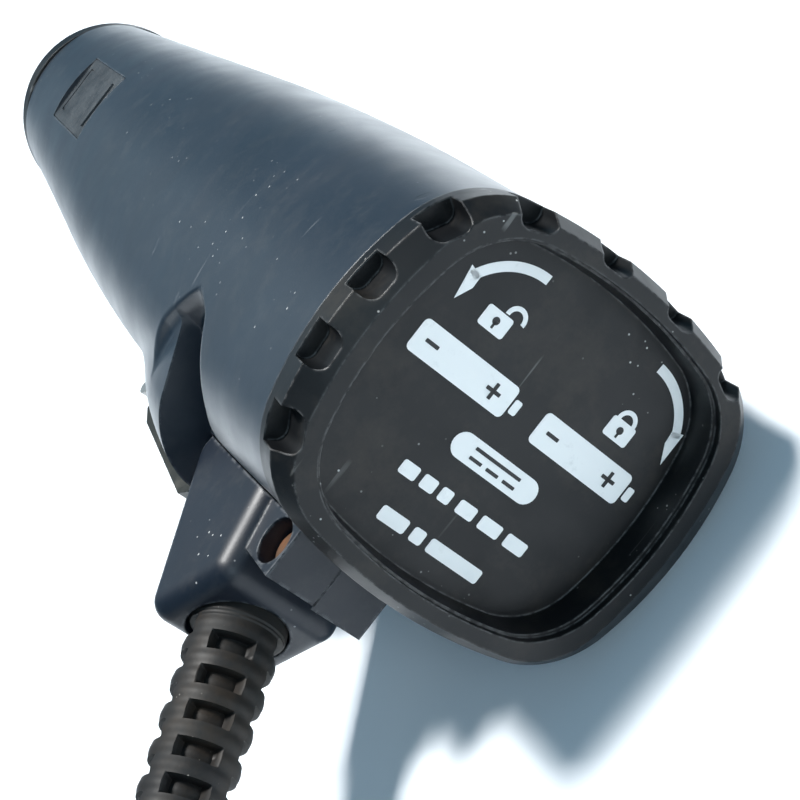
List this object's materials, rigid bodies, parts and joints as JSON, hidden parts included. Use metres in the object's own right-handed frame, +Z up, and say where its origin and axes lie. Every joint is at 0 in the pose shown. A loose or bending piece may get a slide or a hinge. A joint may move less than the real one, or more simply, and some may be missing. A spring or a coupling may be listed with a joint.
{
  "type": "timing light",
  "caption": "Self-powered inductive timing light: tapered barrel with lens, bayonet battery cap, squeeze lever and a pickup lead ending in a spring clamp.",
  "frame": {"origin": "centre of the underside of the tool's box, where it lies on a bench on its right side (the lead, its coil and its clamp not counted)", "axes": "+Z up from the bench, +Y along the barrel towards the lens, +X towards the side away from the lead housing (the tool's own up)"},
  "size_m": [0.2247, 0.2544, 0.0576],
  "materials": {
    "navy_shell": "semi-gloss moulded plastic, scuffed",
    "navy_housing": "semi-gloss moulded plastic, scuffed",
    "black_plastic": "fine satin moulding",
    "lever_plastic": "satin, dusty",
    "black_rubber": "matt, grimy",
    "gasket_rubber": "matt",
    "sheet_steel": "plated",
    "rusty_steel": "rusted screw head",
    "brass": "dull",
    "cell_can": "printed sleeve",
    "card_tube": "varnished card",
    "board": "etched laminate",
    "component": "sleeved",
    "ferrite": "sintered",
    "copper": "enamelled winding",
    "reflector_metal": "vacuum metallised",
    "clear_lens": "clear moulded",
    "tube_glass": "clear",
    "badge": "blank inlay plate",
    "clamp_plastic": "fine texture"
  },
  "bodies": {
    "tool": {"body_shell": "navy_shell", "cap_gasket": "gasket_rubber", "rear_cell": "cell_can", "front_cell": "cell_can", "cell_liner": "card_tube", "front_contact": "brass", "bulkhead": "black_plastic", "board_spacers": "black_plastic", "circuit_board": "board", "board_screws": "sheet_steel", "flash_capacitor": "component", "transformer_core": "ferrite", "transformer_winding": "copper", "trigger_coil": "component", "reflector": "reflector_metal", "tube_holder": "gasket_rubber", "flash_tube": "tube_glass", "tube_electrodes": "sheet_steel", "lens_gasket": "gasket_rubber", "lens": "clear_lens", "lens_bezel": "black_plastic", "side_badge": "badge", "nose_screw": "sheet_steel", "lever_pin": "sheet_steel", "switch_body": "component", "switch_pins": "sheet_steel", "lead_housing": "navy_housing", "housing_screw": "rusty_steel", "strain_relief": "black_rubber", "lead_jacket": "black_rubber", "lead_ferrule": "sheet_steel", "lead_wires": "copper", "cord": "black_rubber", "cord_coil": "black_rubber", "cord_tail": "black_rubber", "jaw_fixed": "clamp_plastic", "core_fixed": "ferrite", "jaw_pin": "sheet_steel", "jaw_spring": "sheet_steel"},
    "lever": {"squeeze_lever": "lever_plastic"},
    "plunger": {"switch_plunger": "black_plastic"},
    "cap": {"battery_cap": "black_plastic", "contact_plate": "sheet_steel", "contact_rivet": "brass", "contact_spring": "sheet_steel"},
    "clamp_jaw": {"jaw_moving": "clamp_plastic", "core_moving": "ferrite"}
  },
  "joints": [
    {"name": "lever_squeeze", "type": "hinge", "parent": "tool", "child": "lever", "pos_m": [-0.01872, -0.02457, 0.02566], "axis": [0, 0.0382, 0.9993], "range_deg": [0, 5], "stiffness_Nm_per_rad": 0.02},
    {"name": "plunger_slide", "type": "slide", "parent": "tool", "child": "plunger", "axis": [1, 0, 0], "range_m": [0, 0.0019]},
    {"name": "cap_twist", "type": "hinge", "parent": "tool", "child": "cap", "pos_m": [0.01078, -0.10851, 0.02887], "axis": [0, -0.9993, 0.0382], "range_deg": [0, 45]},
    {"name": "clamp_open", "type": "hinge", "parent": "tool", "child": "clamp_jaw", "pos_m": [-0.174, 0.002, 0.008], "axis": [0, 0, -1], "range_deg": [0, 14], "stiffness_Nm_per_rad": 0.05}
  ],
  "couplings": [
    {"joint": "plunger_slide", "follows": "lever_squeeze", "m_per_rad": 0.018}
  ]
}
